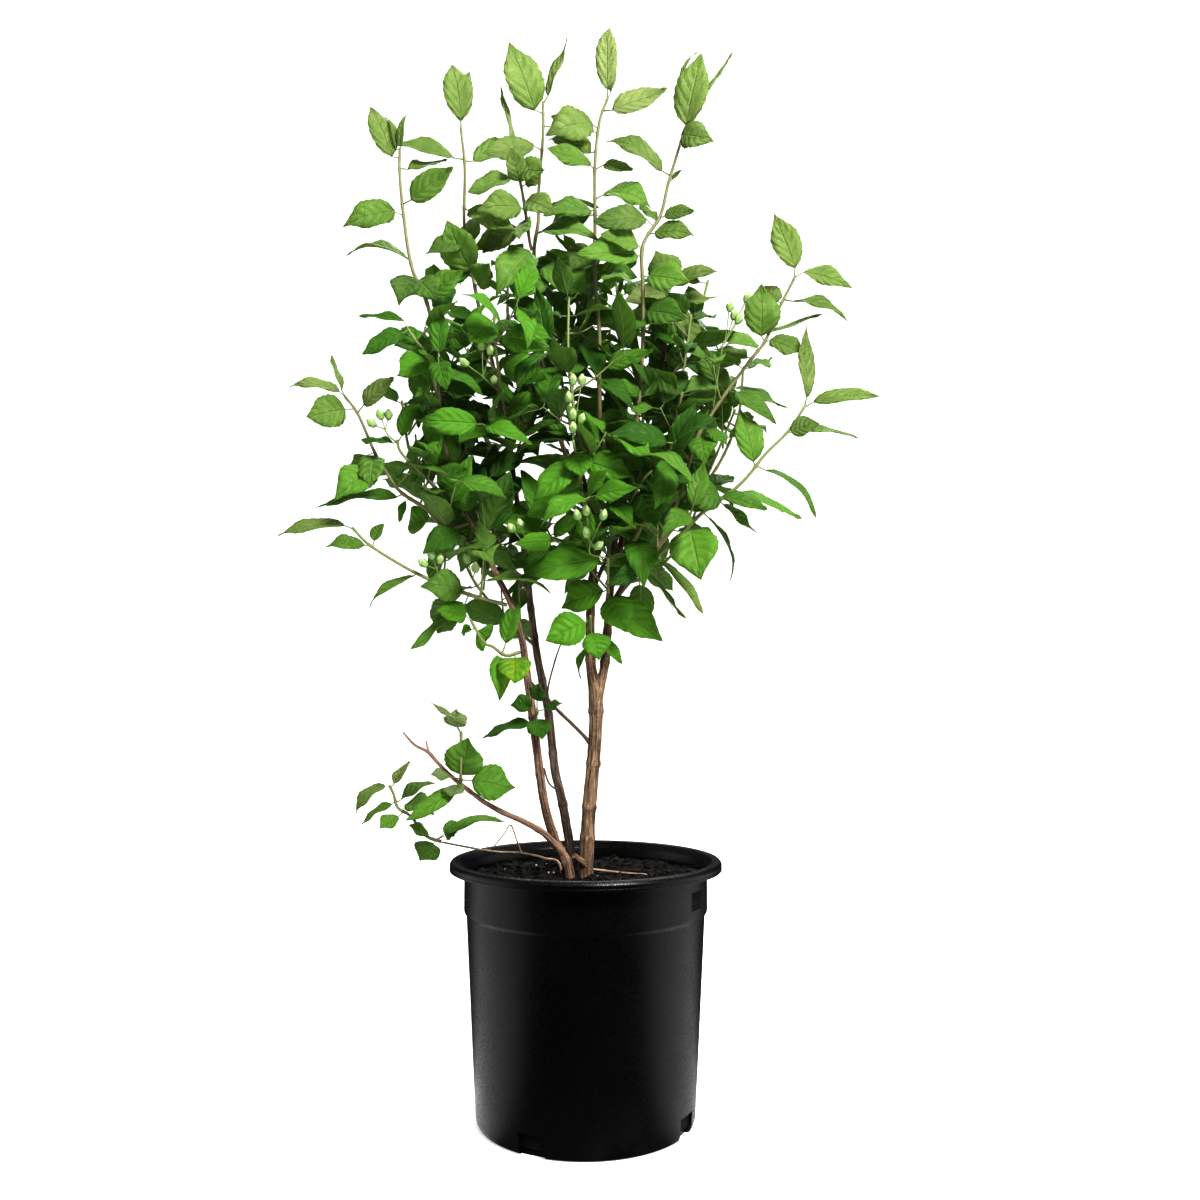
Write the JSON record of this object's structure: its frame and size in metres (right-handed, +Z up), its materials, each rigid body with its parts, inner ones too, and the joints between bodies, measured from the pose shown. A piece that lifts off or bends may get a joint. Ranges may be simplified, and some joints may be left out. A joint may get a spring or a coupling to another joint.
{
  "type": "potted mock orange",
  "caption": "Potted mock orange shrub: leafy green shoots with flower buds on woody canes, in a round black plastic nursery pot of soil.",
  "frame": {"origin": "centre of the pot's flat bottom, on the surface that it stands on", "axes": "+Z up along the pot's axis, -Y towards the front as pictured, +X to the right"},
  "size_m": [0.6546, 0.3496, 1.2505],
  "materials": {
    "pot_plastic": "black moulded, soft sheen",
    "potting_soil": "dark crumbly potting mix with white specks",
    "leaf": "satin green leaf",
    "inner_leaf": "satin dark green leaf",
    "young_leaf": "satin pale green leaf",
    "flower_bud": "matte cream green bud",
    "bark_tan": "rough tan bark",
    "bark_dark": "rough grey brown bark",
    "bark_pale": "dry pale twig"
  },
  "bodies": {
    "root": {"cane_left": "bark_tan", "cane_main": "bark_tan", "cane_middle": "bark_dark", "pot": "pot_plastic", "shoot_back_centre": "inner_leaf", "shoot_back_far": "inner_leaf", "shoot_back_foot": "inner_leaf", "shoot_back_high": "inner_leaf", "shoot_back_left": "inner_leaf", "shoot_back_low": "inner_leaf", "shoot_back_middle": "inner_leaf", "shoot_back_right": "inner_leaf", "shoot_back_side": "inner_leaf", "shoot_back_tall": "inner_leaf", "shoot_back_top": "inner_leaf", "shoot_centre": "leaf", "shoot_fill_centre": "leaf", "shoot_fill_front": "leaf", "shoot_fill_left": "leaf", "shoot_fill_right": "leaf", "shoot_front_centre": "leaf", "shoot_front_high": "leaf", "shoot_front_low": "leaf", "shoot_front_low_left": "leaf", "shoot_front_middle": "leaf", "shoot_front_right": "leaf", "shoot_inner_left": "inner_leaf", "shoot_inner_middle": "inner_leaf", "shoot_inner_right": "inner_leaf", "shoot_left_hanging": "leaf", "shoot_left_high": "young_leaf", "shoot_left_low": "leaf", "shoot_left_mid": "leaf", "shoot_left_mid_low": "leaf", "shoot_low_left": "leaf", "shoot_low_side": "leaf", "shoot_right_back": "leaf", "shoot_right_inner": "leaf", "shoot_right_long": "leaf", "shoot_right_low": "leaf", "shoot_right_upper": "young_leaf", "shoot_top": "young_leaf", "shoot_top_left": "young_leaf", "shoot_top_middle": "young_leaf", "shoot_top_middle_side": "young_leaf", "shoot_top_right": "young_leaf", "shoot_tuft": "leaf", "shoot_upper_left": "young_leaf", "soil": "potting_soil", "spray_buds_centre": "flower_bud", "spray_buds_front": "flower_bud", "spray_buds_left": "flower_bud", "spray_buds_low": "flower_bud", "spray_buds_low_left": "flower_bud", "spray_buds_middle": "flower_bud", "spray_buds_right": "flower_bud", "spray_buds_upper": "flower_bud", "twig_dry": "bark_pale", "twig_low": "bark_pale"}
  },
  "joints": []
}
